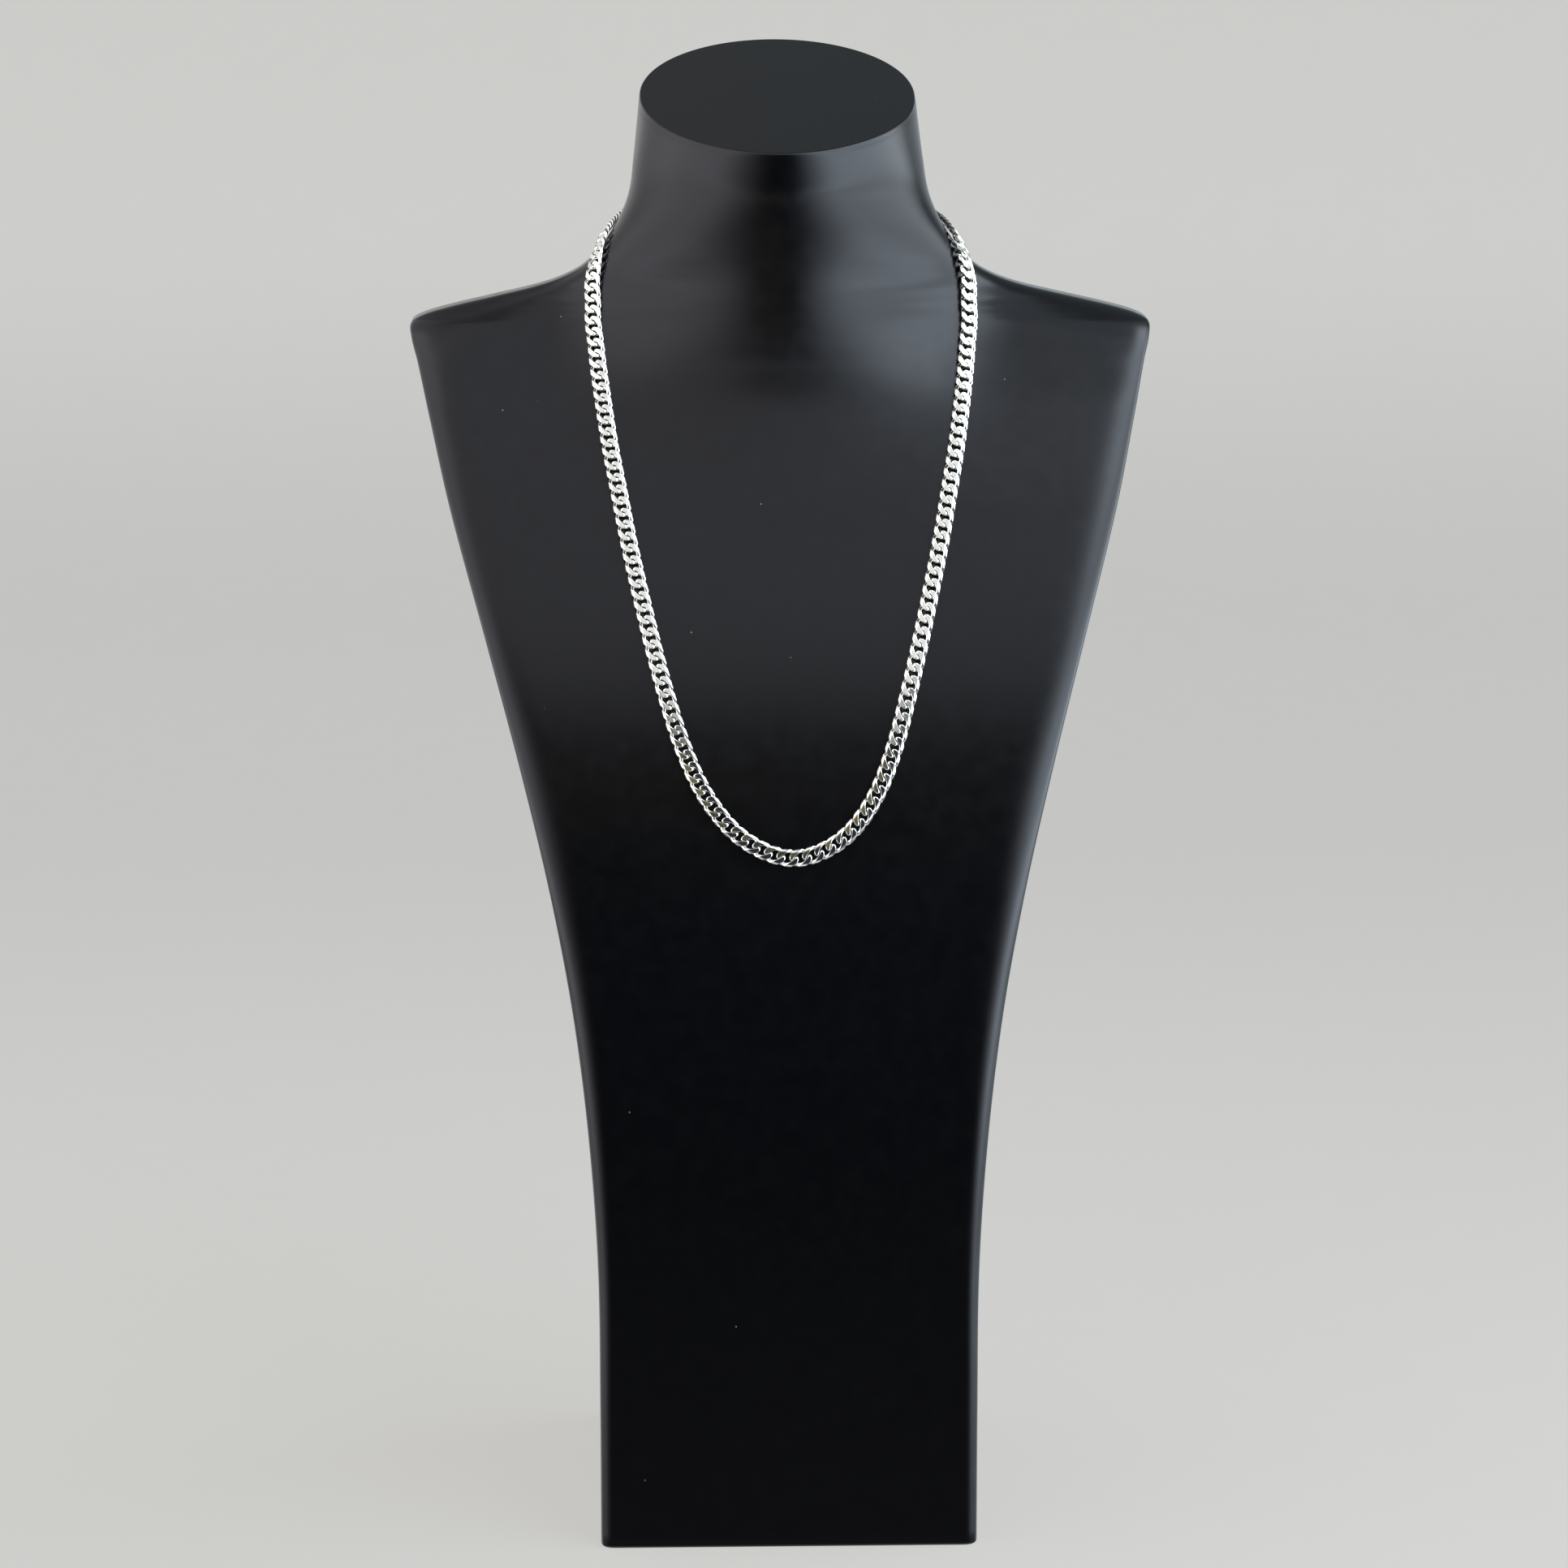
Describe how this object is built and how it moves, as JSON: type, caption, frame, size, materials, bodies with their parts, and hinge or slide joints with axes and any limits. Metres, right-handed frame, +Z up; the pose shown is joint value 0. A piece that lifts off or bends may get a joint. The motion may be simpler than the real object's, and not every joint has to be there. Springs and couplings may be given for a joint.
{
  "type": "curb chain necklace on a neck bust display",
  "caption": "Flat bevelled curb chain worn round a tall plain neck bust display with wide shoulders, a leaning chest and a slanted top face.",
  "frame": {"origin": "middle of the object's footprint box, on the underside of the bust's foot", "axes": "+Z up; -Y towards the front, where the chest and the chain's lowest link are; +X to the right as seen from the front"},
  "size_m": [0.26, 0.2226, 0.5025],
  "materials": {
    "black_lacquer": "satin black lacquer on cast resin",
    "polished_silver": "bright polished silver with ground flats and bevels"
  },
  "bodies": {
    "root": {"neck_bust": "black_lacquer", "chain_left": "polished_silver", "chain_right": "polished_silver", "chain_nape_left": "polished_silver", "chain_nape_right": "polished_silver", "clasp": "polished_silver"}
  },
  "joints": []
}
